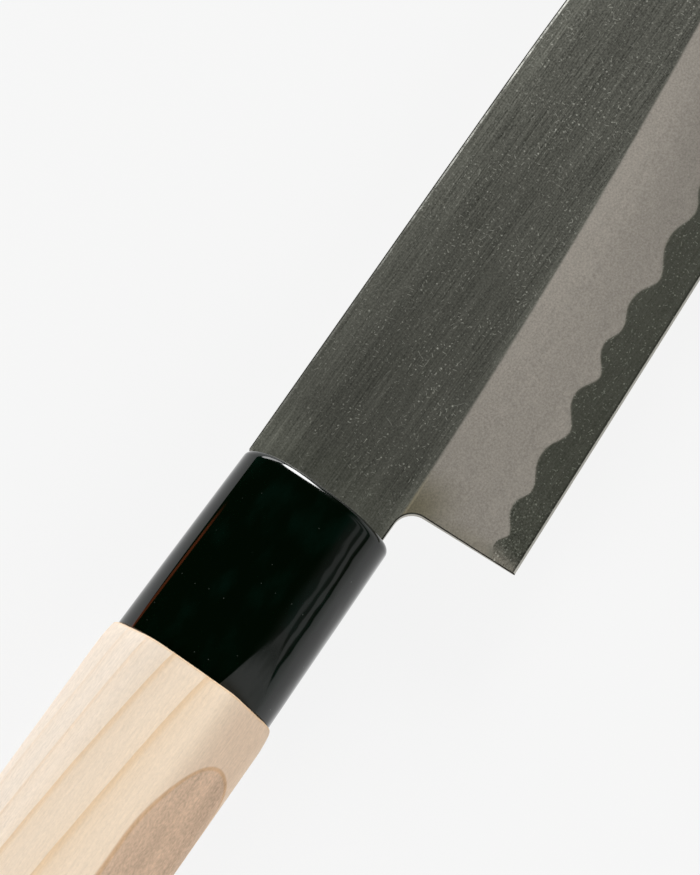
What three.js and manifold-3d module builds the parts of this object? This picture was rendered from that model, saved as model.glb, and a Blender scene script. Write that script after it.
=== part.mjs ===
// A santoku kitchen knife: a laminated blade with a wavy weld line, a black ferrule and an
// octagonal wooden handle. Millimetres. The knife lies on its left side, with +X towards the tip,
// +Y towards the spine and +Z up. Its pieces are drawn from the middle of the ferrule's front
// face, and the finished knife is set down with its origin under the middle of its box.
import * as THREE from 'three';
import { mergeVertices } from 'three/addons/utils/BufferGeometryUtils.js';
import Module from 'manifold-3d';

// Blade outline
const bladeLength = 165;
const heelHeight = 43;
const spineAboveAxis = 12.8;
const spineRise = 0.011;
const spineStraight = 52;
const noseShare = 0.23;
const neckHeight = 24;
const neckLength = 6.8;
const heelOverhang = 0.8;
const choilRadius = 3.2;
const edgeRise = 0.0538;
const edgeBelly = 7.5;

// Blade section
const bladeThickness = 2;
const bevelWidth = 18.8;
const ridgeRise = 0.0375;
const ridgeLift = 12.2;
const microBevelWidth = 0.4;
const microBevelThickness = 0.3;
const edgeThickness = 0.1;

// Layers: the core's thickness under the claddings, and the wavy line where they end. Each lobe of
// the wave has its length, the height above the edge of the cusp that ends it, and its rise.
const coreThickness = 0.5;
const weldGap = 0.3;
const lobePower = 1.6;
const firstCuspHeight = 4.2;
const firstLobes = [[4.5, 3.95, 0.9], [7.5, 4.55, 1.45], [10.5, 4.4, 1.65]];
const laterLobes = [[9.6, 5, 1.95], [7.8, 6, 1.45], [9.5, 5.15, 1.45], [11.5, 6, 1.6]];

// Tang and its bedding
const tangLength = 80;
const tangHeight = 11;
const tangThickness = 1.6;
const beddingSide = 0.7;
const beddingEdge = 1;
const beddingEnd = 1.5;
const mouthRecess = 0.4;
const shoulderGap = 0.3;

// Ferrule
const ferruleLength = 32.6;
const ferruleFrontWidth = 25.9;
const ferruleFrontThickness = 18.4;
const ferruleRearWidth = 27.3;
const ferruleRearThickness = 18.8;
const ferruleSquareness = 2.35;
const ferruleRimRadius = 1.2;
const ferruleFrontWall = 4;
const ferruleWall = 2.6;
const tenonClearance = 0.3;

// Handle
const handleLength = 97.4;
const handleFrontWidth = 28.9;
const handleButtWidth = 30.6;
const handleThickness = 21.4;
const handleMainFlat = 14.6;
const handleSideFlat = 7.1;
const handleFrontRound = 0.35;
const handleFrontRoundLength = 4;
const handleButtChamfer = 1.4;

// Fineness of the curved stretches
const profileSteps = 34;
const stepsPerLobe = 8;
const sectionSides = 48;
const overlap = 1;

const wasm = await Module();
wasm.setup();

// Solids: a closed geometry becomes a solid that can be joined and cut, and comes back as a geometry.
function solidOf(geometry) {
  const bare = geometry.clone();
  bare.deleteAttribute('normal');
  bare.deleteAttribute('uv');
  const merged = mergeVertices(bare, 1e-5);
  const vertProperties = new Float32Array(merged.attributes.position.array);
  const triVerts = new Uint32Array(merged.index.array);
  return new wasm.Manifold(new wasm.Mesh({ numProp: 3, vertProperties, triVerts }));
}

function geometryOf(solid) {
  const mesh = solid.getMesh();
  const geometry = new THREE.BufferGeometry();
  geometry.setAttribute('position', new THREE.BufferAttribute(new Float32Array(mesh.vertProperties), 3));
  geometry.setIndex(new THREE.BufferAttribute(new Uint32Array(mesh.triVerts), 1));
  geometry.computeVertexNormals();
  return geometry;
}

// A box between two corners.
function boxBetween(low, high) {
  const size = new THREE.Vector3().subVectors(high, low);
  const middle = new THREE.Vector3().addVectors(low, high).multiplyScalar(0.5);
  return new THREE.BoxGeometry(size.x, size.y, size.z).translate(middle.x, middle.y, middle.z);
}

// A plan outline raised from one height to another.
function plate(shape, fromZ, toZ) {
  return new THREE.ExtrudeGeometry(shape, { depth: toZ - fromZ, bevelEnabled: false }).translate(0, 0, fromZ);
}

// A skin over rings of points in planes across X, listed from the butt towards the tip, each ring
// counter-clockwise as seen from the tip, with a flat end on the first and the last ring.
function loft(rings) {
  const sides = rings[0].length;
  const positions = rings.flat().flatMap((point) => [point.x, point.y, point.z]);
  const triangles = [];
  for (let ring = 0; ring + 1 < rings.length; ring += 1) {
    for (let side = 0; side < sides; side += 1) {
      const next = (side + 1) % sides;
      const near = ring * sides;
      const far = near + sides;
      triangles.push(near + side, near + next, far + next, near + side, far + next, far + side);
    }
  }
  const outline = rings[0].map((point) => new THREE.Vector2(point.y, point.z));
  const lastRing = (rings.length - 1) * sides;
  for (const [a, b, c] of THREE.ShapeUtils.triangulateShape(outline, [])) {
    triangles.push(c, b, a, lastRing + a, lastRing + b, lastRing + c);
  }
  const geometry = new THREE.BufferGeometry();
  geometry.setAttribute('position', new THREE.Float32BufferAttribute(positions, 3));
  geometry.setIndex(triangles);
  return geometry;
}

// Blade profile: the curves of the spine, the edge and the ridge between flat and bevel, each the
// height above the handle's axis at a distance ahead of the ferrule.
const heelX = neckLength + heelOverhang;
const heelY = spineAboveAxis + spineRise * heelX - heelHeight;
const tipX = heelX + bladeLength;
const neckY = spineAboveAxis - neckHeight;

function edgeY(x) {
  const along = x - heelX;
  return heelY + edgeRise * along + edgeBelly * (along / bladeLength) ** 5;
}

function ridgeY(x) {
  const along = x - heelX;
  return heelY + bevelWidth + ridgeRise * along + ridgeLift * (along / bladeLength) ** 2;
}

const tipDrop = spineAboveAxis + spineRise * tipX - edgeY(tipX);
const noseStart = heelX + spineStraight;

function spineY(x) {
  const nose = Math.max(0, (x - noseStart) / (tipX - noseStart));
  return spineAboveAxis + spineRise * x - tipDrop * ((1 - noseShare) * nose ** 3 + noseShare * nose ** 8);
}

// The wavy line: round lobes between narrow cusps, which climb a little from the heel to mid-blade.
function waveLine() {
  const points = [];
  let start = heelX;
  let startHeight = firstCuspHeight;
  const addLobe = ([length, endHeight, rise]) => {
    for (let step = 0; step < stepsPerLobe; step += 1) {
      const share = step / stepsPerLobe;
      const x = start + length * share;
      const base = startHeight + (endHeight - startHeight) * share;
      points.push(new THREE.Vector2(x, edgeY(x) + base + rise * Math.sin(Math.PI * share) ** lobePower));
    }
    start += length;
    startHeight = endHeight;
  };
  firstLobes.forEach(addLobe);
  while (start < tipX) {
    laterLobes.forEach(addLobe);
  }
  return points;
}

// Blade body: the outline of neck, heel, edge and spine, cut from a bar whose sides are flat above
// the ridge and taper below it to the fine bevel at the edge.
function bladeBody() {
  const shape = new THREE.Shape();
  shape.moveTo(shoulderGap, neckY);
  shape.lineTo(neckLength - choilRadius, neckY);
  shape.absarc(neckLength - choilRadius, neckY - choilRadius, choilRadius, Math.PI / 2, 0, true);
  for (let step = 0; step <= profileSteps; step += 1) {
    const x = heelX + bladeLength * step / profileSteps;
    shape.lineTo(x, edgeY(x));
  }
  for (let step = profileSteps - 1; step >= 0; step -= 1) {
    const x = noseStart + (tipX - noseStart) * step / profileSteps;
    shape.lineTo(x, spineY(x));
  }
  shape.lineTo(shoulderGap, spineY(shoulderGap));

  const half = bladeThickness / 2;
  const microHalf = microBevelThickness / 2;
  const microSlope = (microBevelThickness - edgeThickness) / 2 / microBevelWidth;
  const below = edgeThickness / 4 / microSlope;
  const top = spineAboveAxis + spineRise * tipX + overlap;
  const rings = [];
  for (let step = -2; step <= profileSteps + 1; step += 1) {
    const x = heelX + bladeLength * step / profileSteps;
    const right = [
      new THREE.Vector3(x, top, half),
      new THREE.Vector3(x, ridgeY(x), half),
      new THREE.Vector3(x, edgeY(x) + microBevelWidth, microHalf),
      new THREE.Vector3(x, edgeY(x) - below, edgeThickness / 4),
    ];
    const left = right.map((point) => new THREE.Vector3(point.x, point.y, -point.z)).reverse();
    rings.push([...right, ...left]);
  }
  const outline = plate(shape, -bladeThickness, bladeThickness);
  const tang = boxBetween(
    new THREE.Vector3(-tangLength, -tangHeight / 2, -tangThickness / 2),
    new THREE.Vector3(shoulderGap + overlap, tangHeight / 2, tangThickness / 2),
  );
  return solidOf(loft(rings)).intersect(solidOf(outline)).add(solidOf(tang));
}

// The space that one cladding fills: all that lies above the wavy line and outside the core.
function claddingSpace(side, raise) {
  const wave = waveLine();
  const first = wave[0];
  const last = wave[wave.length - 1];
  const rearX = -tangLength - overlap;
  const topY = spineAboveAxis + spineRise * tipX + overlap;
  const shape = new THREE.Shape();
  shape.moveTo(rearX, first.y + raise);
  wave.forEach((point) => shape.lineTo(point.x, point.y + raise));
  shape.lineTo(last.x, topY);
  shape.lineTo(rearX, topY);
  const inner = coreThickness / 2;
  return solidOf(side > 0 ? plate(shape, inner, bladeThickness) : plate(shape, -bladeThickness, -inner));
}

// Ferrule: a tapered oval collar with a rounded front rim, a socket for the handle's tenon and a
// mouth for the tang. It stays a little inside the handle's octagon all round.
const mouthHeight = tangHeight + 2 * beddingEdge;
const mouthThickness = tangThickness + 2 * beddingSide;

function ovalRing(x, width, thickness) {
  return Array.from({ length: sectionSides }, (_, side) => {
    const angle = 2 * Math.PI * side / sectionSides;
    const reach = (value) => Math.sign(value) * Math.abs(value) ** (2 / ferruleSquareness);
    return new THREE.Vector3(x, width / 2 * reach(Math.cos(angle)), thickness / 2 * reach(Math.sin(angle)));
  });
}

function ferruleRing(x, inset) {
  const back = -x / ferruleLength;
  const width = ferruleFrontWidth + (ferruleRearWidth - ferruleFrontWidth) * back;
  const thickness = ferruleFrontThickness + (ferruleRearThickness - ferruleFrontThickness) * back;
  return ovalRing(x, width - 2 * inset, thickness - 2 * inset);
}

// An oval bar along X, for the tenon and, made wider, for the socket around it.
function ovalBar(fromX, toX, growth) {
  const width = ferruleFrontWidth - 2 * ferruleWall + 2 * growth;
  const thickness = ferruleFrontThickness - 2 * ferruleWall + 2 * growth;
  const shape = new THREE.Shape().absellipse(0, 0, width / 2, thickness / 2, 0, 2 * Math.PI);
  const settings = { depth: toX - fromX, bevelEnabled: false, curveSegments: sectionSides };
  const bar = new THREE.ExtrudeGeometry(shape, settings);
  const acrossX = new THREE.Matrix4().makeBasis(
    new THREE.Vector3(0, 1, 0),
    new THREE.Vector3(0, 0, 1),
    new THREE.Vector3(1, 0, 0),
  );
  return bar.applyMatrix4(acrossX).translate(fromX, 0, 0);
}

function mouthBox(fromX, toX) {
  return boxBetween(
    new THREE.Vector3(fromX, -mouthHeight / 2, -mouthThickness / 2),
    new THREE.Vector3(toX, mouthHeight / 2, mouthThickness / 2),
  );
}

function ferruleBody() {
  const rings = [ferruleRing(-ferruleLength, 0), ferruleRing(-ferruleRimRadius, 0)];
  for (const angle of [Math.PI / 6, Math.PI / 3, Math.PI / 2]) {
    const x = -ferruleRimRadius * (1 - Math.sin(angle));
    rings.push(ferruleRing(x, ferruleRimRadius * (1 - Math.cos(angle))));
  }
  const socket = ovalBar(-ferruleLength - overlap, -ferruleFrontWall, 0);
  const mouth = mouthBox(-ferruleFrontWall - overlap, overlap);
  return solidOf(loft(rings)).subtract(solidOf(socket)).subtract(solidOf(mouth));
}

// Handle: an octagon that widens to the butt, with an oval tenon in front and a slot for the tang.
function handleRing(back, inset) {
  const x = -ferruleLength - back;
  const share = back / handleLength;
  const halfWidth = (handleFrontWidth + (handleButtWidth - handleFrontWidth) * share) / 2 - inset;
  const halfThickness = handleThickness / 2 - inset;
  const mainFlat = handleMainFlat / 2 - inset / 2;
  const sideFlat = handleSideFlat / 2 - inset / 2;
  const quarter = [[halfWidth, sideFlat], [mainFlat, halfThickness]];
  const mirrored = quarter.map(([y, z]) => [-y, z]).reverse();
  const upper = [...quarter, ...mirrored];
  const lower = upper.map(([y, z]) => [-y, -z]);
  return [...upper, ...lower].map(([y, z]) => new THREE.Vector3(x, y, z));
}

function handleBody() {
  const rings = [
    handleRing(handleLength, handleButtChamfer),
    handleRing(handleLength - handleButtChamfer, 0),
    handleRing(handleFrontRoundLength, 0),
    handleRing(0, handleFrontRound),
  ];
  const tenon = ovalBar(-ferruleLength - overlap, -ferruleFrontWall - tenonClearance, -tenonClearance);
  const slot = mouthBox(-tangLength - beddingEnd, overlap);
  return solidOf(loft(rings)).add(solidOf(tenon)).subtract(solidOf(slot));
}

// Bedding: what fills the slot around the tang, up to just behind the ferrule's front face.
function beddingBody() {
  const filling = mouthBox(-tangLength - beddingEnd, -mouthRecess);
  const tang = boxBetween(
    new THREE.Vector3(-tangLength, -tangHeight / 2, -tangThickness / 2),
    new THREE.Vector3(overlap, tangHeight / 2, tangThickness / 2),
  );
  return solidOf(filling).subtract(solidOf(tang));
}

const coreFinish = new THREE.MeshStandardMaterial({ color: 0x4a4b42, roughness: 0.25, metalness: 1 });
const claddingFinish = new THREE.MeshStandardMaterial({ color: 0x86827a, roughness: 0.5, metalness: 1 });
const ferruleFinish = new THREE.MeshStandardMaterial({ color: 0x06090a, roughness: 0.1, metalness: 0 });
const woodFinish = new THREE.MeshStandardMaterial({ color: 0xebd5bc, roughness: 0.65, metalness: 0 });
const beddingFinish = new THREE.MeshStandardMaterial({ color: 0x2b241d, roughness: 0.6, metalness: 0 });

function piece(name, solid, finish) {
  const mesh = new THREE.Mesh(geometryOf(solid), finish);
  mesh.name = name;
  return mesh;
}

const blade = bladeBody();
const core = blade.subtract(claddingSpace(1, 0)).subtract(claddingSpace(-1, 0));

const knife = new THREE.Group();
knife.add(
  piece('core_steel', core, coreFinish),
  piece('cladding_right', blade.intersect(claddingSpace(1, weldGap)), claddingFinish),
  piece('cladding_left', blade.intersect(claddingSpace(-1, weldGap)), claddingFinish),
  piece('ferrule', ferruleBody(), ferruleFinish),
  piece('handle_wood', handleBody(), woodFinish),
  piece('tang_bedding', beddingBody(), beddingFinish),
);

// The origin lies under the middle of the knife's box, on the plane of the handle's lower flat.
const box = new THREE.Box3().setFromObject(knife);
const middle = box.getCenter(new THREE.Vector3());
knife.position.set(-middle.x, -middle.y, -box.min.z);

export default knife;
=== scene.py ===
import math

import bmesh
import bpy
import numpy as np
from mathutils import Matrix, Vector
from mathutils.geometry import delaunay_2d_cdt


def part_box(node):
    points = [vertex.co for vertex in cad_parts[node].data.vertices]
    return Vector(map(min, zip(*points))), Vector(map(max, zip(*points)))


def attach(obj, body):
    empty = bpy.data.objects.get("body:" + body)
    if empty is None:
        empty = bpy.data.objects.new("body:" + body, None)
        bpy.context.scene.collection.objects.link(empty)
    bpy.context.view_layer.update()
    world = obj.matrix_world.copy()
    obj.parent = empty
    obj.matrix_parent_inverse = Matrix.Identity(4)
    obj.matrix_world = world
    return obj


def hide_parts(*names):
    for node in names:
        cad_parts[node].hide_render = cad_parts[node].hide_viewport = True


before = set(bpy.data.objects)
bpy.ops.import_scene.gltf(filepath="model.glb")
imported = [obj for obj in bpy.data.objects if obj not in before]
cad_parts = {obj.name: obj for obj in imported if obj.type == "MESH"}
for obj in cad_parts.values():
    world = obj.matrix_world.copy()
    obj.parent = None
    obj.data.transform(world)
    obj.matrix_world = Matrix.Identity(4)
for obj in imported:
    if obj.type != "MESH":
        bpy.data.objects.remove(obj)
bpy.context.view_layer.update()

# Core of the blade: a sheet of hard steel, forge-welded between two softer sheets and ground thin.
# It comes bare below a wavy line, where it is polished dark down to the fine bevel of the edge, and
# it runs on behind the shoulder as the tang.

# Sizes are in millimetres from the middle of the ferrule's front face: x towards the tip, y towards
# the spine and z out of the blade's right face.
MM = 0.001
ferrule_low, ferrule_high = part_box("ferrule")
ferrule_middle = (ferrule_low + ferrule_high) / 2
mouth = Vector((ferrule_high.x, ferrule_middle.y, ferrule_middle.z))

blade_length = 165.0
heel_height = 43.0
spine_above_axis = 12.8
spine_rise = 0.011
spine_straight = 52.0
nose_power = 3
tip_share = 0.23
tip_power = 8
neck_height = 24.0
neck_length = 6.8
heel_overhang = 0.8
choil_radius = 3.2
edge_rise = 0.0538
edge_belly = 7.5
belly_power = 5
shoulder_gap = 0.3

blade_half = 1.0
bevel_width = 18.8
ridge_rise = 0.0375
ridge_lift = 12.2
lift_power = 2
micro_width = 0.4
micro_half = 0.15
edge_half = 0.05
core_half = 0.25
arris_radius = 0.22

tang_length = 80.0
tang_height = 11.0
tang_half = 0.8
shoulder_run = 0.02

lobe_power = 2.6
first_cusp = 4.2
first_lobes = [(4.5, 3.95, 0.9), (7.5, 4.55, 1.5), (10.5, 4.4, 1.75)]
later_lobes = [(9.6, 5.0, 2.05), (7.8, 6.0, 1.55), (9.5, 5.15, 1.55), (11.5, 6.0, 1.7)]
lobe_steps = 24
blade_steps = 330
neck_steps = 7
choil_steps = 12
heel_steps = 47

heel_x = neck_length + heel_overhang
heel_y = spine_above_axis + spine_rise * heel_x - heel_height
tip_x = heel_x + blade_length
neck_y = spine_above_axis - neck_height
nose_start = heel_x + spine_straight


def edge_y(x):
    """The cutting edge rises slowly from the heel, and faster towards the tip."""
    along = x - heel_x
    return heel_y + edge_rise * along + edge_belly * (along / blade_length) ** belly_power


def ridge_y(x):
    """The line where the bevel meets the upper flat."""
    along = x - heel_x
    lift = ridge_lift * (along / blade_length) ** lift_power
    return heel_y + bevel_width + ridge_rise * along + lift


tip_drop = spine_above_axis + spine_rise * tip_x - edge_y(tip_x)


def spine_y(x):
    """Straight over the heel, then dropping to the tip."""
    nose = np.maximum(0.0, (x - nose_start) / (tip_x - nose_start))
    curve = (1 - tip_share) * nose ** nose_power + tip_share * nose ** tip_power
    return spine_above_axis + spine_rise * x - tip_drop * curve


def half_thickness(x, y):
    """Flat above the ridge, thinning below it, and thinner again on the fine bevel at the edge."""
    above_edge = y - edge_y(x)
    share = (above_edge - micro_width) / (ridge_y(x) - edge_y(x) - micro_width)
    bevel = np.minimum(micro_half + (blade_half - micro_half) * share, blade_half)
    fine = edge_half + (micro_half - edge_half) * above_edge / micro_width
    body = np.where(above_edge < micro_width, fine, bevel)
    shoulder = np.clip((shoulder_gap - x) / shoulder_run, 0.0, 1.0)
    return body + (tang_half - body) * shoulder


def wave_line():
    """Round lobes between narrow cusps. Each lobe has its length, the height of the cusp after it, and
    its rise."""
    points = []
    start = heel_x
    height = first_cusp
    lobes = list(first_lobes)
    while start < tip_x:
        if not lobes:
            lobes = list(later_lobes)
        length, next_height, rise = lobes.pop(0)
        share = np.arange(lobe_steps) / lobe_steps
        x = start + length * share
        lobe = rise * (1 - np.abs(np.cos(np.pi * share)) ** lobe_power)
        level = height + (next_height - height) * share
        points.append(np.column_stack([x, edge_y(x) + level + lobe]))
        start += length
        height = next_height
    return np.concatenate(points)


def inward(line, distance):
    """A line moved to its left, which is into the blade as the outline runs."""
    step = np.gradient(line, axis=0)
    normal = np.column_stack([-step[:, 1], step[:, 0]])
    return line + distance * normal / np.linalg.norm(normal, axis=1, keepdims=True)


def distance_to(points, line):
    """How far each point is from a line of straight steps."""
    start = line[:-1]
    step = np.diff(line, axis=0)
    gap = points[:, None] - start
    share = np.clip((gap * step).sum(2) / (step ** 2).sum(1), 0.0, 1.0)
    return np.linalg.norm(gap - share[..., None] * step, axis=2).min(1)


wave = wave_line()
turn = np.linspace(np.pi / 2, 0.0, choil_steps + 1)
choil_centre = np.array([neck_length - choil_radius, neck_y - choil_radius])
choil = choil_centre + choil_radius * np.column_stack([np.cos(turn), np.sin(turn)])
along_neck = np.linspace(shoulder_gap, choil[0, 0], neck_steps + 1)[:-1]
neck_bottom = np.column_stack([along_neck, np.full(neck_steps, neck_y)])
back = np.linspace(choil[-1], (heel_x, heel_y), heel_steps + 1)[1:]
back_line = np.concatenate([neck_bottom, choil, back])
along_edge = np.linspace(heel_x, tip_x, blade_steps)
edge_line = np.column_stack([along_edge, edge_y(along_edge)])
along_spine = np.linspace(tip_x, shoulder_gap, blade_steps)
spine_line = np.column_stack([along_spine, spine_y(along_spine)])
tang_outline = np.array([
    (shoulder_gap, tang_height / 2),
    (-tang_length, tang_height / 2),
    (-tang_length, -tang_height / 2),
    (shoulder_gap, -tang_height / 2),
])

bevel_shares = (0.5, 0.7, 0.85)
wave_offsets = (-1.6, -0.9, -0.5, -0.25, -0.1, 0.1, 0.25, 0.5, 0.9, 1.6)
arris_depths = (0.03, 0.08, 0.15, 0.22, 0.32, 0.7)
beyond_blade = 20.0
joining_gap = 1e-5
same_line = 1e-4
easing_share = 0.45


def blade_plan():
    """The blade seen from its side, in triangles that follow its ridge, its wave and its arrises.
    The second face given to the triangulation is all that lies above the wave."""
    points = []
    edges = []
    faces = []

    def add(line, closed=False):
        first = len(points)
        points.extend(Vector(point) for point in line)
        indices = list(range(first, len(points)))
        if closed:
            faces.append(indices)
        else:
            edges.extend(zip(indices[:-1], indices[1:]))

    add(np.concatenate([back_line, edge_line[1:], spine_line[1:], tang_outline]), closed=True)
    high = spine_above_axis + beyond_blade
    front = tip_x + beyond_blade
    rear = -tang_length - beyond_blade
    corners = [(front, wave[-1, 1]), (front, high), (rear, high), (rear, wave[0, 1])]
    add(np.concatenate([wave, corners]), closed=True)
    add([(shoulder_gap - shoulder_run, -tang_height), (shoulder_gap - shoulder_run, tang_height)])
    add([(shoulder_gap, -tang_height), (shoulder_gap, tang_height)])

    stations = np.linspace(shoulder_gap, tip_x, blade_steps)
    add(np.column_stack([stations, ridge_y(stations)]))
    for share in bevel_shares:
        add(np.column_stack([stations, edge_y(stations) + share * (ridge_y(stations) - edge_y(stations))]))
    add(edge_line + [0.0, micro_width])
    for offset in wave_offsets:
        add(wave[2:] + [0.0, offset])
    for depth in arris_depths:
        add(inward(spine_line, depth))
        add(inward(back_line, depth))

    places, _, triangles, _, _, inside = delaunay_2d_cdt(points, edges, faces, 0, joining_gap)
    places = np.array([tuple(place) for place in places])
    body = [tuple(triangle) for triangle, hits in zip(triangles, inside) if 0 in hits]
    clad = [1 in hits for hits in inside if 0 in hits]
    return places, np.array(body), np.array(clad)


plan, plan_faces, plan_clad = blade_plan()
plan_x, plan_y = plan.T
to_spine = distance_to(plan, spine_line)
to_back = distance_to(plan, back_line)
to_wave = distance_to(plan, wave)
above_wave = np.where(plan_y > np.interp(plan_x, wave[:, 0], wave[:, 1]), to_wave, -to_wave)

# The arrises of the spine and the heel are eased by a small radius, as far as the metal is thick.
plain_half = half_thickness(plan_x, plan_y)
easing = np.minimum(arris_radius, easing_share * np.maximum(plain_half - core_half, 0.0))
easing = np.where(plan_x < shoulder_gap, 0.0, easing)
reach = np.clip(easing - np.minimum(to_spine, to_back), 0.0, None)
plan_half = plain_half - easing + np.sqrt(np.maximum(easing ** 2 - reach ** 2, 0.0))

blade_marks = {
    "above_edge": plan_y - edge_y(plan_x),
    "above_ridge": plan_y - ridge_y(plan_x),
    "above_wave": above_wave,
    "from_back": to_back,
    "from_spine": to_spine,
}
crease_angle = math.radians(35)


def rims(triangles):
    """The outer edges of some of the plan's triangles, each with its metal on the left."""
    directed = {(int(a), int(b)) for tri in triangles for a, b in zip(tri, np.roll(tri, -1))}
    return [(a, b) for a, b in directed if (b, a) not in directed]


def place_piece(name, points, faces):
    """A mesh drawn in millimetres becomes a piece in the frame, with its own origin at the mouth."""
    mesh = bpy.data.meshes.new(name)
    mesh.from_pydata((np.asarray(points) * MM).tolist(), [], faces)
    mesh.validate()
    piece = bpy.data.objects.new(name, mesh)
    piece.location = mouth
    bpy.context.collection.objects.link(piece)
    return piece


def crease(piece, sharp_lines=None):
    """Smooth shading, with hard edges at corners and along the lines where two ground faces meet."""
    mesh = piece.data
    shape = bmesh.new()
    shape.from_mesh(mesh)
    for face in shape.faces:
        face.smooth = True
    for edge in shape.edges:
        ends = [vertex.index for vertex in edge.verts]
        on_line = sharp_lines is not None and any(line[ends[0]] and line[ends[1]] for line in sharp_lines)
        edge.smooth = not on_line and edge.calc_face_angle(0.0) < crease_angle
    shape.to_mesh(mesh)
    shape.free()


def layer(name, stacks, steps=()):
    """A piece of the blade from stacks of triangles, each with its upper and lower heights. Steps are
    pairs of stacks whose shared rim is closed by small walls, above and below."""
    points = []
    faces = []
    used = []
    numbers = []
    all_rims = []
    for triangles, upper, lower in stacks:
        corners = np.unique(triangles)
        first = sum(len(part) for part in used)
        number = {int(corner): first + i for i, corner in enumerate(corners)}
        count = len(corners)
        points.append(np.column_stack([plan[corners], upper[corners]]))
        points.append(np.column_stack([plan[corners], lower[corners]]))
        used += [corners, corners]
        numbers.append((number, count))
        all_rims.append(rims(triangles))
        for a, b, c in triangles:
            a, b, c = number[int(a)], number[int(b)], number[int(c)]
            faces += [(a, b, c), (c + count, b + count, a + count)]
    rim_sets = [set(rim) for rim in all_rims]
    for index, (number, count) in enumerate(numbers):
        for a, b in all_rims[index]:
            if any((b, a) in rim for rim in rim_sets):
                continue
            a, b = number[a], number[b]
            faces.append((a, a + count, b + count, b))
    for thick, thin in steps:
        number, count = numbers[thick]
        other, other_count = numbers[thin]
        for a, b in all_rims[thick]:
            if (b, a) in rim_sets[thin]:
                faces.append((number[a], other[a], other[b], number[b]))
                lower_a, lower_b = number[a] + count, number[b] + count
                faces.append((other[a] + other_count, lower_a, lower_b, other[b] + other_count))
    used = np.concatenate(used)
    piece = place_piece(name, np.concatenate(points), faces)
    for mark, values in blade_marks.items():
        attribute = piece.data.attributes.new(mark, "FLOAT", "POINT")
        attribute.data.foreach_set("value", values[used].astype(np.float32))
    marks = {mark: values[used] for mark, values in blade_marks.items()}
    lines = [
        np.abs(marks["above_ridge"]) < same_line,
        np.abs(marks["above_edge"] - micro_width) < same_line,
        np.abs(marks["above_wave"]) < same_line,
    ]
    crease(piece, lines)
    return piece


class Wire:
    """A socket in a shader. Sums of wires and numbers add the nodes that work them out."""

    def __init__(self, tree, socket=None):
        self.tree = tree
        self.socket = socket

    def node(self, kind, settings, sockets, output=0):
        made = self.tree.nodes.new("ShaderNode" + kind)
        for name, value in settings.items():
            setattr(made, name, value)
        for name, value in sockets.items():
            entry = made.inputs[name]
            if isinstance(value, Wire):
                self.tree.links.new(value.socket, entry)
            elif entry.type == "RGBA":
                entry.default_value = (*value, 1.0)
            else:
                entry.default_value = value
        return Wire(self.tree, made.outputs[output])

    def other(self, output):
        """Another output of the node that made this wire."""
        return Wire(self.tree, self.socket.node.outputs[output])

    def math(self, operation, *values):
        return self.node("Math", {"operation": operation}, dict(enumerate(values)))

    def __add__(self, value):
        return self.math("ADD", self, value)

    def __sub__(self, value):
        return self.math("SUBTRACT", self, value)

    def __rsub__(self, value):
        return self.math("SUBTRACT", value, self)

    def __mul__(self, value):
        return self.math("MULTIPLY", self, value)

    def __truediv__(self, value):
        return self.math("DIVIDE", self, value)

    __radd__ = __add__
    __rmul__ = __mul__

    def __neg__(self):
        return 0.0 - self

    def at_least(self, value):
        return self.math("MAXIMUM", self, value)

    def at_most(self, value):
        return self.math("MINIMUM", self, value)

    def absolute(self):
        return self.math("ABSOLUTE", self)

    def swing(self, amount):
        """A pattern from 0 to 1 taken about its middle, times an amount."""
        return (self - 0.5) * amount

    def step(self, low, high):
        """0 up to low, 1 from high, and smooth between them. High may be the smaller."""
        ends = {0: self, 1: low, 2: high, 3: 0.0, 4: 1.0}
        return self.node("MapRange", {"interpolation_type": "SMOOTHSTEP"}, ends)

    def colour(self, at_zero, at_one):
        """The colour between two, by this share."""
        return self.node("Mix", {"data_type": "RGBA"}, {0: self, 6: at_zero, 7: at_one}, 2)

    def shade(self, amount):
        """This colour made lighter or darker."""
        return self.node("VectorMath", {"operation": "SCALE"}, {0: self, "Scale": amount})

    def tint(self, colour):
        """A colour times this amount."""
        return self.node("VectorMath", {"operation": "SCALE"}, {0: colour, "Scale": self})

    def stretch(self, factors):
        """These coordinates times a factor for each axis."""
        return self.node("VectorMath", {"operation": "MULTIPLY"}, {0: self, 1: factors})

    def noise(self, scale, detail=2.0, roughness=0.5):
        sockets = {"Vector": self, "Scale": scale, "Detail": detail, "Roughness": roughness}
        return self.node("TexNoise", {}, sockets, "Fac")

    def cells(self, spacing):
        """A loose pattern of cells this far apart, by the distance from their middles, in cells."""
        return self.node("TexVoronoi", {"voronoi_dimensions": "2D"}, {"Vector": self, "Scale": 1 / spacing})

    def channel(self, name):
        return self.node("SeparateColor", {}, {0: self}, name)

    def axis(self, name):
        return self.node("SeparateXYZ", {}, {0: self}, name)


def new_finish(name):
    """A material, and its coordinates in millimetres from the ferrule's front face."""
    material = bpy.data.materials.new(name)
    material.use_nodes = True
    start = Wire(material.node_tree)
    place = start.node("TexCoord", {}, {}, "Object")
    return material, place.stretch((1 / MM, 1 / MM, 1 / MM))


def lay_on(material, wires, numbers, relief=None, depth=0.0):
    """Joins a finish to its shader: what varies as wires, what doesn't as plain numbers."""
    shader = material.node_tree.nodes["Principled BSDF"]
    for name, wire in wires.items():
        material.node_tree.links.new(wire.socket, shader.inputs[name])
    for name, number in numbers.items():
        shader.inputs[name].default_value = number
    if relief is not None:
        bump = relief.node("Bump", {}, {"Height": relief, "Distance": depth * MM, "Strength": 1.0})
        material.node_tree.links.new(bump.socket, shader.inputs["Normal"])


def measured(start, mark):
    """One of the blade's marked distances, in millimetres."""
    return start.node("Attribute", {"attribute_name": mark}, {}, "Fac")


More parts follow.
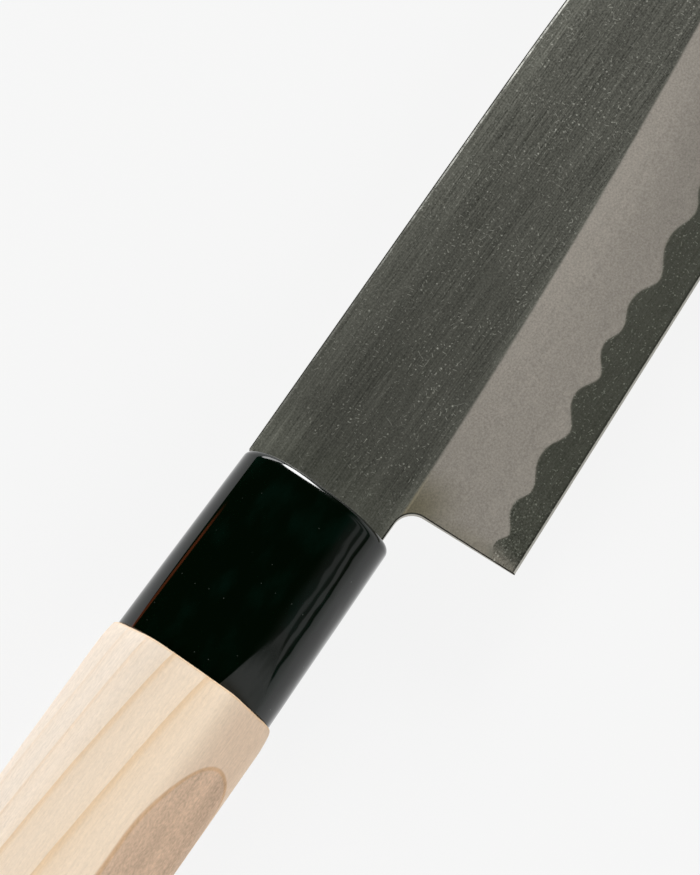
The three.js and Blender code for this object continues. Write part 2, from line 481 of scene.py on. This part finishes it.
def specks(point, spacing, radius, share):
    """Tiny dots of different sizes, in a share of the cells of a loose pattern."""
    distance = point.cells(spacing)
    random = distance.other("Color")
    size = (0.35 + 0.65 * random.channel("Green")) * (radius / spacing)
    chosen = random.channel("Red").step(share, share - 0.02)
    return distance.step(size, size * 0.45) * chosen * (0.4 + 0.6 * random.channel("Blue"))


def scratches(point, spacing, length, width, share):
    """Short fine scratches at all angles, in a share of the cells of a loose pattern."""
    distance = point.cells(spacing)
    random = distance.other("Color")
    middle = distance.other("Position")
    offset = point.node("VectorMath", {"operation": "SUBTRACT"}, {0: point, 1: middle})
    turned = offset.node(
        "VectorRotate",
        {"rotation_type": "Z_AXIS"},
        {"Vector": offset, "Angle": random.channel("Green") * math.tau},
    )
    half = (0.3 + 0.7 * random.channel("Blue")) * (length / 2)
    lengthwise = turned.axis("X")
    along = lengthwise.absolute().step(half, half * 0.6)
    bowed = turned.axis("Y") + lengthwise * lengthwise * random.channel("Blue").swing(0.3)
    across = bowed.absolute().step(width / 2, width / 8)
    return along * across * random.channel("Red").step(share, share - 0.02)


# A dark line of painted shade for the heel's arris.
arris_painted_shade = (0.040, 0.040, 0.034)
filed_grey = (0.44, 0.42, 0.38)


def heel_edge(tone, back_distance):
    """The back of the heel is filed pale, and a thin dark line of painted shade lies along its arris."""
    filed = back_distance.step(0.03, 0.005)
    arris = back_distance.step(0.27, 0.15)
    return filed.colour(arris.colour(tone, arris_painted_shade), filed_grey)


core_finish, point = new_finish("polished_core_steel")
wave_height = measured(point, "above_wave")
edge_height = measured(point, "above_edge")
back_distance = measured(point, "from_back")
core_dark = (0.288, 0.281, 0.250)
core_warm = (0.420, 0.376, 0.322)
core_pale = (0.850, 0.830, 0.760)
bevel_bright = (0.640, 0.620, 0.580)
hairlines = point.stretch((0.1, 6.0, 6.0)).noise(1.0, 3.0)
cloud = point.noise(0.22, 2.0)
grain = point.noise(3.2, 2.0, 0.7)
by_heel = back_distance.step(18.0, 4.0)
polish = 0.74 + 0.55 * hairlines + cloud.swing(0.25) + grain.swing(1.0 + 1.2 * by_heel)
marks = 0.7 * specks(point, spacing=0.5, radius=0.16, share=0.30)
marks = marks + specks(point, spacing=1.4, radius=0.20, share=0.40)
marks = marks + 0.8 * scratches(point, spacing=1.5, length=0.9, width=0.11, share=0.40)
heel_marks = specks(point, spacing=0.60, radius=0.20, share=0.6) * by_heel
marks = marks * (1.7 + 0.9 * by_heel) + heel_marks
weld_blur = wave_height.step(-0.35, 0.12)
heel_fringe = (0.25 * edge_height + grain.swing(1.2) - back_distance).step(-2.7, 0.8)
pale_rim = (0.6 * weld_blur).at_least(0.74 * heel_fringe)
tone = pale_rim.colour(core_dark, core_warm).shade(polish)
tone = (0.7 * marks).at_most(0.9).colour(tone, core_pale)
fine_bevel = edge_height.step(micro_width - 0.05, micro_width - 0.13)
shadow_line = edge_height.step(micro_width + 0.35, micro_width - 0.02)
tone = fine_bevel.colour(tone.shade(1 - 0.5 * shadow_line), bevel_bright)
core_roughness = 0.36 + 0.08 * hairlines + 0.24 * pale_rim + 0.25 * fine_bevel
lay_on(
    core_finish,
    {"Base Color": heel_edge(tone, back_distance), "Roughness": core_roughness},
    {"Metallic": 1.0},
    relief=hairlines,
    depth=0.004,
)

bare = plan_faces[~plan_clad]
covered = plan_faces[plan_clad]
core_level = np.full(len(plan), core_half)
core_stacks = [(bare, plan_half, -plan_half), (covered, core_level, -core_level)]
core = layer("core_steel_blade", core_stacks, [(0, 1)])
core.data.materials.append(core_finish)
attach(core, "root")
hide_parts("core_steel")

# Claddings: the two softer sheets, one on each side of the core. Above the ridge they are ground
# flat and rubbed along the blade to a dark sheen, which carries fine pits and stray scratches.
# Below it, the bevel is blasted to an even pale grey as far as the wave.
cladding_finish, point = new_finish("ground_and_blasted_cladding")
ridge_height = measured(point, "above_ridge")
wave_height = measured(point, "above_wave")
back_distance = measured(point, "from_back")
spine_distance = measured(point, "from_spine")
tipward = point.axis("X")
flat_dark = (0.236, 0.231, 0.207)
flat_pale = (0.900, 0.880, 0.810)
spine_glint_pale = (0.950, 0.940, 0.900)
spine_painted_shade = (0.070, 0.070, 0.058)
band_grey = (0.462, 0.420, 0.382)
band_pale = (0.620, 0.590, 0.530)
stain_brown = (0.285, 0.254, 0.184)
weld_grey = (0.300, 0.290, 0.255)
ridge_highlight_gold = (0.640, 0.560, 0.400)

hairlines = point.stretch((0.07, 5.0, 5.0)).noise(1.0, 4.0, 0.6)
brushing = point.stretch((0.02, 0.6, 0.6)).noise(1.0, 3.0)
patches = point.noise(0.12, 3.0)
grain = point.noise(3.2, 2.0, 0.7)
near_ridge = ridge_height.step(2.2, 0.2)
near_spine = spine_distance.step(8.0, 1.0)
near_ferrule = tipward.step(12.0, 2.0)
towards_tip = tipward.step(18.0, 80.0)
ridge_sheen = near_ridge * tipward.step(74.0, 62.0)
rubbed_and_lit = 0.79 + hairlines.swing(0.95 + 0.45 * towards_tip) + brushing.swing(0.45)
rubbed_and_lit = rubbed_and_lit + patches.swing(0.15) + grain.swing(1.10 + 0.45 * towards_tip)
# The flat is painted lighter beside the ridge, by the spine, by the ferrule and towards the tip: painted
# light, as the lamps fall on the blade.
rubbed_and_lit = rubbed_and_lit * (1 + 0.30 * ridge_sheen) * (1 + 0.36 * near_spine)
rubbed_and_lit = rubbed_and_lit * (1 + 0.55 * near_ferrule) * (1 + 0.22 * towards_tip)

marks = 0.65 * specks(point, spacing=0.45, radius=0.15, share=0.28)
marks = marks + 1.25 * specks(point, spacing=1.15, radius=0.21, share=0.40)
marks = marks + 1.05 * scratches(point, spacing=1.1, length=0.8, width=0.12, share=0.45)
marks = marks + 0.7 * scratches(point, spacing=2.6, length=2.0, width=0.10, share=0.30)
pitted = (0.35 + 0.65 * patches.step(0.36, 0.62)) * (0.85 + 0.20 * tipward.step(20.0, 60.0))
pitted = pitted * (1 - 0.35 * near_ferrule) * (1 - 0.55 * near_ridge) * (1 - 0.20 * near_spine)
marks = marks * pitted
flat_tone = (0.8 * marks).at_most(0.9).colour(rubbed_and_lit.tint(flat_dark), flat_pale)

# Along the spine the arris is painted dark as shade. Beside it runs a thin painted highlight that comes and
# goes, like light caught on worn spots, and the steel is rougher where it shows.
spine_wear_glint = point.stretch((0.16, 0.0, 0.0)).noise(1.0, 4.0, 0.75).step(0.36, 0.60)
spine_wear_glint = spine_wear_glint * spine_distance.step(0.16, 0.24) * spine_distance.step(0.50, 0.38)
spine_wear_glint = spine_wear_glint * (0.20 + 0.80 * towards_tip)
flat_tone = spine_wear_glint.colour(flat_tone, spine_glint_pale)
flat_tone = spine_distance.step(0.20, 0.12).colour(flat_tone, spine_painted_shade)

# The blasted band is painted a little lighter by the ridge and darker towards the tip, as painted light,
# and it is stained by the choil and along the heel.
mottle = point.noise(0.5, 3.0)
ridge_glow = ridge_height.step(-10.0, 0.0) * tipward.step(15.0, 85.0)
blasted_and_lit = 0.98 + grain.swing(0.85) + mottle.swing(0.12) + brushing.swing(0.10)
blasted_and_lit = blasted_and_lit * (1.03 - 0.23 * tipward.step(30.0, 100.0)) * (1 + 0.29 * ridge_glow)
choil_stain = back_distance.step(9.0, 1.0) * ridge_height.step(-9.0, -0.5)
stain = choil_stain.at_least(0.4 * back_distance.step(3.5, 0.5))
band_tone = stain.colour(band_grey, stain_brown).shade(blasted_and_lit)
band_specks = specks(point, spacing=1.3, radius=0.12, share=0.3)
band_tone = (0.3 * band_specks).colour(band_tone, band_pale)
weld_shade = 0.25 * wave_height.step(0.35, 0.0)
heel_shade = 0.7 * wave_height.step(1.3, 0.0) * back_distance.step(2.6, 0.8)
band_tone = weld_shade.at_least(heel_shade).colour(band_tone, weld_grey)
# A thin painted highlight lies along the ridge by the choil.
ridge_shine = ridge_height.step(-0.45, -0.15) * back_distance.step(8.0, 2.0)
band_tone = (0.45 * ridge_shine).colour(band_tone, ridge_highlight_gold)

ground = (ridge_height + grain.swing(0.25)).step(-0.30, 0.30)
flat_roughness = 0.42 + 0.12 * hairlines + 0.30 * spine_wear_glint
band_roughness = 0.62 + grain.swing(0.1)
lay_on(
    cladding_finish,
    {
        "Base Color": heel_edge(ground.colour(band_tone, flat_tone), back_distance),
        "Roughness": band_roughness + (flat_roughness - band_roughness) * ground,
    },
    {"Metallic": 1.0},
    relief=0.7 * hairlines * ground + 1.2 * grain * (1 - ground),
    depth=0.005,
)

for side, upper, lower in (("right", plan_half, core_level), ("left", -core_level, -plan_half)):
    cladding = layer("cladding_" + side + "_skin", [(covered, upper, lower)])
    cladding.data.materials.append(cladding_finish)
    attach(cladding, "root")
    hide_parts("cladding_" + side)

# Bedding: the dark resin that holds the tang in its slot. Only a sliver of it shows in the
# ferrule's mouth, so the CAD solid stays and takes this finish.
bedding_finish, point = new_finish("dark_bedding_resin")
lumps = point.noise(1.8, 4.0, 0.6)
resin_dark = (0.016, 0.012, 0.009)
resin_pale = (0.045, 0.034, 0.026)
bedding_tone = lumps.step(0.3, 0.7).colour(resin_dark, resin_pale)
lay_on(
    bedding_finish,
    {"Base Color": bedding_tone, "Roughness": 0.45 + 0.25 * lumps},
    {},
    relief=lumps,
    depth=0.08,
)
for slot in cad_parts["tang_bedding"].material_slots:
    slot.material = bedding_finish

# Ferrule: an oval collar shaped from black horn and polished. It is squarer towards the spine, and
# on the edge's side a shallow facet by the handle is filed and left satin. It is glued over the
# handle's tenon, and its mouth takes the tang.
ferrule_length = 32.6
ferrule_front = (25.7, 18.4)
ferrule_rear = (27.1, 18.8)
edge_side_power = 2.35
spine_side_power = 2.85
squarer_reach = 1.5
squarer_fade = 4
facet_angle = math.radians(23.0)
facet_across = math.sin(facet_angle)
facet_out = math.cos(facet_angle)
facet_start = 20.0
facet_reach = 10.49
facet_depth = 0.351
facet_curve = 2.1
least_turn = 0.01
rim_radius = 1.2
crown = 0.62
crown_slant = 0.015
crown_half = 12.0
crown_power = 5.0
rear_easing = 0.15
front_wall = 4.0
socket_size = (20.7, 13.2)
mouth_size = (13.0, 3.0)
mouth_corner = 10.0
ferrule_sides = 256
body_rings = 48
rim_rings = 18
lip_shares = (0.08, 0.5, 0.94, 1.0)


def oval(sides, width, thickness, power=2.0):
    """A section that is an ellipse, or with a higher power a box with soft corners."""
    angle = np.linspace(0.0, math.tau, sides, endpoint=False)
    y = np.cos(angle)
    z = np.sin(angle)
    distance = ((2 * np.abs(y) / width) ** power + (2 * np.abs(z) / thickness) ** power) ** (-1 / power)
    return np.column_stack([y * distance, z * distance])


def section_at(x, section):
    """A section set at its place along the knife."""
    return np.column_stack([np.full(len(section), x), section])


def skin(name, rings, ends):
    """A closed body over rings of points. Ends is "join" to lead the last ring into the first, and
    "cap" to close both with a fan."""
    sides = len(rings[0])
    points = np.concatenate(rings)
    faces = []
    pairs = list(zip(range(len(rings) - 1), range(1, len(rings))))
    if ends == "join":
        pairs.append((len(rings) - 1, 0))
    for near, far in pairs:
        for side in range(sides):
            next_side = (side + 1) % sides
            faces.append((
                near * sides + side,
                near * sides + next_side,
                far * sides + next_side,
                far * sides + side,
            ))
    if ends == "cap":
        first = len(points)
        points = np.concatenate([points, [rings[0].mean(0)], [rings[-1].mean(0)]])
        last_ring = (len(rings) - 1) * sides
        for side in range(sides):
            next_side = (side + 1) % sides
            faces.append((first, next_side, side))
            faces.append((first + 1, last_ring + side, last_ring + next_side))
    return place_piece(name, points, faces)


ferrule_around = np.linspace(0.0, math.tau, ferrule_sides, endpoint=False)
by_spine = np.clip(squarer_reach * np.cos(ferrule_around), 0.0, 1.0)
squarer = (spine_side_power - edge_side_power) * by_spine
facet_turn = np.abs(np.sin(ferrule_around)) * facet_out - np.cos(ferrule_around) * facet_across
facet_turn = np.maximum(least_turn, facet_turn)


def ferrule_ring(x, inset):
    """One ring of the collar. Its place may differ from point to point around it."""
    back = -x / ferrule_length
    width = ferrule_front[0] + (ferrule_rear[0] - ferrule_front[0]) * back - 2 * inset
    thickness = ferrule_front[1] + (ferrule_rear[1] - ferrule_front[1]) * back - 2 * inset
    power = edge_side_power + squarer * (1 - np.clip(back, 0.0, 1.0) ** squarer_fade)
    section = oval(ferrule_sides, width, thickness, power)
    filed = np.clip((-x - facet_start) / (ferrule_length - facet_start), 0.0, 1.0) ** facet_curve
    facet = (facet_reach - facet_depth * filed - inset) / facet_turn
    trim = np.minimum(1.0, facet / np.linalg.norm(section, axis=1))
    return section_at(x, section * trim[:, None])


# The rim is rounded, and its middle stands a little forward of its sides.
lip_y = ferrule_front[0] / 2 * np.cos(ferrule_around)
forward = (crown + crown_slant * lip_y) * np.clip(1 - np.abs(lip_y / crown_half) ** crown_power, 0.0, 1.0)
ferrule_rings = [ferrule_ring(-ferrule_length, rear_easing)]
for x in np.linspace(-ferrule_length + rear_easing, -rim_radius, body_rings):
    ferrule_rings.append(ferrule_ring(x, 0.0))
for angle in np.linspace(0.0, math.pi / 2, rim_rings + 1)[1:]:
    x = -rim_radius + (rim_radius + forward) * math.sin(angle)
    ferrule_rings.append(ferrule_ring(x, rim_radius * (1 - math.cos(angle))))
lip = ferrule_rings[-1][:, 1:]
mouth_section = oval(ferrule_sides, *mouth_size, mouth_corner)
for share in lip_shares:
    ferrule_rings.append(section_at(forward * (1 - share), lip * (1 - share) + mouth_section * share))
ferrule_rings.append(section_at(-front_wall, mouth_section))
ferrule_rings.append(section_at(-front_wall, oval(ferrule_sides, *socket_size)))
ferrule_rings.append(section_at(-ferrule_length, oval(ferrule_sides, *socket_size)))
ferrule = skin("ferrule_collar", ferrule_rings, "join")
crease(ferrule)

ferrule_finish, point = new_finish("polished_black_horn")
horn_black = (0.0002, 0.0016, 0.0008)
horn_teal = (0.0006, 0.0046, 0.0034)
horn_brown = (0.050, 0.012, 0.005)
dust_grey = (0.12, 0.13, 0.12)
facet_grey = (0.010, 0.012, 0.011)
tipward = point.axis("X")
spineward = point.axis("Y")
outward = point.axis("Z")
swells = point.stretch((0.6, 1.0, 1.0)).noise(0.16, 2.0)
ripples = point.stretch((0.5, 1.0, 1.0)).noise(0.5, 1.0)
fine_ripples = point.stretch((0.35, 1.0, 1.0)).noise(1.8, 2.0)
smears = point.stretch((0.5, 1.0, 1.0)).noise(0.22, 3.0)
dust = specks(point, spacing=2.8, radius=0.13, share=0.28)
horn_tone = smears.step(0.45, 0.75).colour(horn_black, horn_teal)

# A thin brown streak runs along the right side, close to the spine.
streak_y = 10.08
streak_slope = 0.0305
brown_streak = (spineward + streak_slope * tipward - streak_y).absolute().step(0.25, 0.10)
brown_streak = brown_streak * tipward.step(-8.5, -16.0) * outward.step(0.0, 1.0)
horn_tone = brown_streak.colour(horn_tone, horn_brown)
horn_tone = (0.5 * dust).colour(horn_tone, dust_grey)
rim_wear = tipward.step(-1.4, -0.3)

# The filed facet is grey with file marks. Its border is softer towards the edge, by the handle.
behind_start = ((-tipward - facet_start) / (ferrule_length - facet_start)).at_least(0.0)
facet_level = facet_reach - facet_depth * behind_start.math("POWER", behind_start, facet_curve)
facet_gap = outward.absolute() * facet_out - spineward * facet_across - facet_level
edgeward = -spineward * facet_out - outward.absolute() * facet_across
facet_border = 0.06 + 0.24 * edgeward.step(1.0, 3.0) * behind_start.step(0.4, 0.9)
file_marks = point.stretch((0.15, 1.6, 1.6)).noise(1.0, 3.0)
facet = facet_gap.step(-facet_border, -0.005) * behind_start.step(0.0, 0.7)
facet = facet * (0.90 + file_marks.swing(0.7))
horn_tone = facet.colour(horn_tone, facet_grey)

# The polished surface isn't quite even, apart from the rim and the side by the spine.
waviness = swells + 0.06 * ripples + 0.014 * fine_ripples
horn_roughness = 0.02 + 0.03 * smears + 0.2 * dust + 0.07 * rim_wear + 0.58 * facet
lay_on(
    ferrule_finish,
    {"Base Color": horn_tone, "Roughness": horn_roughness},
    {"IOR": 1.54},
    relief=waviness * tipward.step(-2.0, -6.0) * spineward.step(8.0, 2.0),
    depth=0.17,
)
ferrule.data.materials.append(ferrule_finish)
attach(ferrule, "root")
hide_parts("ferrule")

# Handle: a block of pale straight-grained softwood, planed to eight flats that widen towards the
# butt, with its corners eased by hand. It is left bare, and stands a little proud of the ferrule.
handle_length = 97.4
handle_thickness = 21.4
front_width = 28.9
butt_width = 30.6
main_flat = 14.6
side_flat = 7.1
corner_sharp = 26.0
corner_soft = 17.0
front_round = 0.35
front_round_length = 4.0
front_easing = 0.4
front_face = 0.5
butt_chamfer = 1.4
chamfer_power = 1.6
butt_insets = (2.4, 4.0, 6.5)
tenon_size = (20.1, 12.6)
tenon_front = -4.3
slot_end = -81.5
handle_sides = 256
easing_rings = 6
front_rings = np.linspace(0.8, front_round_length, 6)
flat_rings = np.linspace(7.0, 95.0, 23)
chamfer_rings = 9


def octagon(sides, size, flats, power):
    """A section with eight flats: its main flats and side flats. The power is low for round corners."""
    angle = np.linspace(0.0, math.tau, sides, endpoint=False)
    slope_y = (size[1] - flats[1]) / 2
    slope_z = (size[0] - flats[0]) / 2
    slope_reach = (slope_y * size[0] + slope_z * flats[1]) / 2

    def reach(y, z):
        slopes = ((slope_y * y + slope_z * z) / slope_reach) ** power
        return ((2 * y / size[0]) ** power + (2 * z / size[1]) ** power + slopes) ** (-1 / power)

    y = np.cos(angle)
    z = np.sin(angle)
    distance = reach(np.abs(y), np.abs(z))
    half_width = y * distance * size[0] / 2 / reach(1.0, 0.0)
    half_height = z * distance * size[1] / 2 / reach(0.0, 1.0)
    return np.column_stack([half_width, half_height])


handle_around = np.linspace(0.0, math.tau, handle_sides, endpoint=False)
spine_side = np.clip(0.5 + np.cos(handle_around), 0.0, 1.0)
corner_power = corner_sharp + (corner_soft - corner_sharp) * spine_side


def handle_ring(back, inset):
    """One ring of the grip, this far behind the ferrule and this far inside its flats."""
    width = front_width + (butt_width - front_width) * back / handle_length
    drawn_in = front_round * max(0.0, 1 - back / front_round_length) ** 2
    trim = 2 * (inset + drawn_in)
    size = (width - trim, handle_thickness - trim)
    flats = (main_flat * size[0] / front_width, side_flat * size[1] / handle_thickness)
    return section_at(-ferrule_length - back, octagon(handle_sides, size, flats, corner_power))


slot_section = oval(handle_sides, *mouth_size, mouth_corner)
tenon_section = oval(handle_sides, *tenon_size)
handle_rings = [
    section_at(slot_end, slot_section),
    section_at(tenon_front, slot_section),
    section_at(tenon_front, tenon_section),
    section_at(-ferrule_length, tenon_section),
    handle_ring(0.0, front_easing + front_face),
]
for angle in np.linspace(0.0, math.pi / 2, easing_rings):
    eased_back = front_easing * (1 - math.cos(angle))
    handle_rings.append(handle_ring(eased_back, front_easing * (1 - math.sin(angle))))
for back in np.concatenate([front_rings, flat_rings]):
    handle_rings.append(handle_ring(back, 0.0))
for share in np.linspace(0.0, 1.0, chamfer_rings):
    eased_back = handle_length - butt_chamfer * (1 - share)
    handle_rings.append(handle_ring(eased_back, butt_chamfer * share ** chamfer_power))
for inset in butt_insets:
    handle_rings.append(handle_ring(handle_length, inset))
handle = skin("handle_wood_grip", handle_rings, "cap")
crease(handle)

wood_finish, point = new_finish("pale_handle_wood")
outer_tone = (0.878, 0.757, 0.655)
inner_tone = (0.945, 0.764, 0.600)
deep_and_shaded_tone = (0.780, 0.590, 0.450)
late_tone = (0.800, 0.520, 0.275)
heart_tone = (0.632, 0.440, 0.317)
heart_line = (0.600, 0.340, 0.160)
pith_x = -42.2
pith_y = -49.8
pith_z = 42.9
pith_slope_y = -0.2396
pith_slope_z = -0.1987
ring_area = 615.2
ring_shift = -4.549
heart_tip_x = -42.5
heart_y = -11.9
heart_z = 6.2
heart_radius = 7.25
heart_taper = 17.0
tipward = point.axis("X")
spineward = point.axis("Y")
outward = point.axis("Z")

# The growth rings lie around a pith outside the block, and each darkens to the end of its year.
wander = point.stretch((0.012, 0.05, 0.05)).noise(1.0, 2.0) - 0.5
ripple = point.stretch((0.12, 0.5, 0.5)).noise(1.0, 2.0) - 0.5
behind = tipward - pith_x
from_pith_y = spineward - pith_y - pith_slope_y * behind + wander + 0.3 * ripple
from_pith_z = outward - pith_z - pith_slope_z * behind
ring = (from_pith_y * from_pith_y + from_pith_z * from_pith_z) / ring_area + ring_shift
year = ring.math("FLOOR", ring)
part_of_year = ring - year
year_strength = ring.node("TexWhiteNoise", {"noise_dimensions": "1D"}, {"W": year + 0.5}, "Value")
late = part_of_year.step(0.72, 0.96) * (0.7 + 0.3 * year_strength)
late = late.at_least(0.35 * part_of_year.step(0.35, 0.95)) * part_of_year.step(1.0, 0.985)
late = late * (0.4 + 0.6 * ring.step(3.2, 2.4)) * ring.step(0.2, 0.5)

# A tongue of darker heartwood runs under the flats by the edge, and ends in a round nose.
across_y = (spineward - heart_y) / heart_radius
across_z = (outward - heart_z) / heart_radius
across = across_y * across_y + across_z * across_z
nose = ((tipward - heart_tip_x + heart_taper) / heart_taper).at_least(0.0)
from_rim = (across + nose * nose - 1.0) / (0.08 + 0.09 * across)
heart = from_rim.step(0.4, -0.4)
heart_rim = from_rim.step(0.6, 0.1) * from_rim.step(-1.0, -0.2)

wood_tone = ring.step(0.6, 3.6).colour(inner_tone, outer_tone)
# Towards the edge's side the wood turns a deeper brown: partly its own colour, partly painted shade.
wood_tone = spineward.step(-5.3, -10.6).colour(wood_tone, deep_and_shaded_tone)
wood_tone = (0.54 * late).colour(wood_tone, late_tone)
wood_tone = (0.9 * heart).colour(wood_tone, heart_tone)
wood_tone = (0.55 * heart_rim).colour(wood_tone, heart_line)
# A narrow band along the front edge, by the ferrule, is tinted a darker orange.
front_edge_tint = tipward.step(-ferrule_length - 0.55, -ferrule_length - 0.15)
wood_tone = (0.5 * front_edge_tint).colour(wood_tone, late_tone)

# Fibres run along the block, and show more on the slopes and in the heartwood.
fibres = point.stretch((0.08, 2.6, 2.6)).noise(1.0, 3.0, 0.6)
fine_fibres = point.stretch((0.6, 5.0, 5.0)).noise(1.0, 2.0, 0.7)
speckle = point.stretch((1.5, 3.0, 3.0)).noise(1.0, 2.0, 0.6)
broad = point.stretch((0.02, 0.16, 0.16)).noise(1.0, 2.0)
heart_mottle = point.stretch((0.05, 0.3, 0.3)).noise(1.0, 2.0)
slopes = spineward.absolute().step(6.5, 9.0)
texture = fibres.swing(0.16) + fine_fibres.swing(0.20) + speckle.swing(0.20 + 0.38 * heart)
wood_light = 1.0 + texture * (1 + 0.3 * slopes) + broad.swing(0.08) + heart_mottle.swing(0.5 * heart)

# The end grain of the butt soaks up the light, so it is darker than the flats.
butt_x = -ferrule_length - handle_length
end_grain = tipward.step(butt_x + butt_chamfer, butt_x)
wood_light = wood_light * (1 - 0.3 * end_grain)
lay_on(
    wood_finish,
    {"Base Color": wood_tone.shade(wood_light), "Roughness": 0.50 + 0.2 * fibres},
    {"IOR": 1.45, "Specular IOR Level": 0.25},
    relief=fibres + 0.7 * fine_fibres,
    depth=0.03,
)
handle.data.materials.append(wood_finish)
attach(handle, "root")
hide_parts("handle_wood")

# Stage: a pale table that the knife lies on, under soft boxes towards its tip and its butt. A pale
# low wall with two faint streaks above it stands on the edge's side, and the rest of the room is
# dim, so that the polished steel stays dark.
floor_colour = (0.93, 0.93, 0.93)
floor_half = 12.0
glow_share = 0.94
floor_mesh = bpy.data.meshes.new("table_top")
floor_corners = [(-floor_half, -floor_half, 0), (floor_half, -floor_half, 0)]
floor_corners += [(floor_half, floor_half, 0), (-floor_half, floor_half, 0)]
floor_mesh.from_pydata(floor_corners, [], [(0, 1, 2, 3)])
floor = bpy.data.objects.new("table_top", floor_mesh)
bpy.context.collection.objects.link(floor)
floor_finish = bpy.data.materials.new("pale_table_paint")
floor_finish.use_nodes = True
tree = floor_finish.node_tree
paint = tree.nodes["Principled BSDF"]
paint.inputs["Base Color"].default_value = (*floor_colour, 1.0)
paint.inputs["Roughness"].default_value = 0.9
paint.inputs["Specular IOR Level"].default_value = 0.0
path = Wire(tree).node("LightPath", {}, {}, "Is Camera Ray")
seen = (path + path.other("Is Glossy Ray")).at_least(path.other("Is Transmission Ray")).at_most(1.0)
glow = seen.node("Emission", {}, {"Color": floor_colour, "Strength": 1.0})
table = seen.node("MixShader", {}, {0: glow_share * seen, 1: Wire(tree, paint.outputs[0]), 2: glow})
tree.links.new(table.socket, tree.nodes["Material Output"].inputs["Surface"])
floor_mesh.materials.append(floor_finish)


def soft_box(name, direction, distance, width, height, brightness):
    """A round lamp that faces the ferrule's mouth from a direction, with the brightness of its front."""
    lamp = bpy.data.lights.new(name, "AREA")
    lamp.shape = "ELLIPSE"
    lamp.size = width
    lamp.size_y = height
    lamp.energy = brightness * math.pi * (math.pi / 4 * width * height)
    holder = bpy.data.objects.new(name, lamp)
    towards = Vector(direction).normalized()
    holder.location = mouth + towards * distance
    holder.rotation_euler = towards.to_track_quat("Z", "Y").to_euler()
    bpy.context.collection.objects.link(holder)


tip_key = (0.896, 0.240, 0.375)
tip_strip = (0.740, 0.655, 0.140)
butt_spine_fill = (-0.70, 0.55, 0.45)
butt_edge_fill = (-0.70, -0.55, 0.45)
soft_box("tip_key", tip_key, distance=1.3, width=0.45, height=0.62, brightness=21.0)
soft_box("tip_strip", tip_strip, distance=1.3, width=0.90, height=0.38, brightness=5.8)
soft_box("butt_spine_fill", butt_spine_fill, distance=1.5, width=1.0, height=0.8, brightness=6.4)
soft_box("butt_edge_fill", butt_edge_fill, distance=1.5, width=1.0, height=0.8, brightness=6.6)

world = bpy.data.worlds.new("dim_room")
world.use_nodes = True
bpy.context.scene.world = world
tree = world.node_tree
wall_white = (1.0, 1.0, 1.0)
ceiling_olive = (0.010, 0.022, 0.001)
direction = Wire(tree).node("TexCoord", {}, {}, "Generated")
height = direction.axis("Z")
edge_side = direction.axis("Y").step(-0.3, -0.55)
wall = height.step(0.36, 0.30) * (0.92 - 1.15 * height)
lower_streak = height.step(0.44, 0.48) * height.step(0.60, 0.56)
upper_streak = height.step(0.65, 0.69) * height.step(0.77, 0.73)
haze = height.step(0.30, 0.50) * height.step(0.95, 0.75)
room_light = (wall + 0.42 * lower_streak + 0.30 * upper_streak + 0.11 * haze) * edge_side
room_light = room_light.tint(wall_white)
room_colour = room_light.node("VectorMath", {"operation": "ADD"}, {0: room_light, 1: ceiling_olive})
background = tree.nodes["Background"]
tree.links.new(room_colour.socket, background.inputs["Color"])

# Camera: a long lens above the knife, so that its lines stay nearly parallel. It leans a little
# towards the butt and the edge, and is turned so that the blade runs up and out of the picture.
camera_data = bpy.data.cameras.new("camera")
camera_data.sensor_fit = "HORIZONTAL"
camera_data.sensor_width = 36.0
camera_data.lens = 415.4
camera_data.clip_end = 50.0
camera = bpy.data.objects.new("camera", camera_data)
camera_aim = (10.49, 1.66, 0.0)
camera_target = mouth + Vector(camera_aim) * MM
camera_distance = 1.2
lean_to_butt = math.sin(math.radians(10.5))
lean_to_edge = math.sin(math.radians(4.0))
camera_roll = math.radians(54.399)
back_axis = Vector((-lean_to_butt, -lean_to_edge, math.sqrt(1 - lean_to_butt ** 2 - lean_to_edge ** 2)))
blade_axis = Vector((1, 0, 0))
blade_axis = (blade_axis - back_axis * blade_axis.dot(back_axis)).normalized()
spine_axis = back_axis.cross(blade_axis)
right_axis = math.cos(camera_roll) * blade_axis - math.sin(camera_roll) * spine_axis
up_axis = math.sin(camera_roll) * blade_axis + math.cos(camera_roll) * spine_axis
camera.matrix_world = Matrix.Translation(camera_target + back_axis * camera_distance) @ Matrix(
    (right_axis, up_axis, back_axis)
).transposed().to_4x4()
bpy.context.collection.objects.link(camera)
bpy.context.scene.camera = camera
bpy.context.scene.view_settings.view_transform = "Standard"
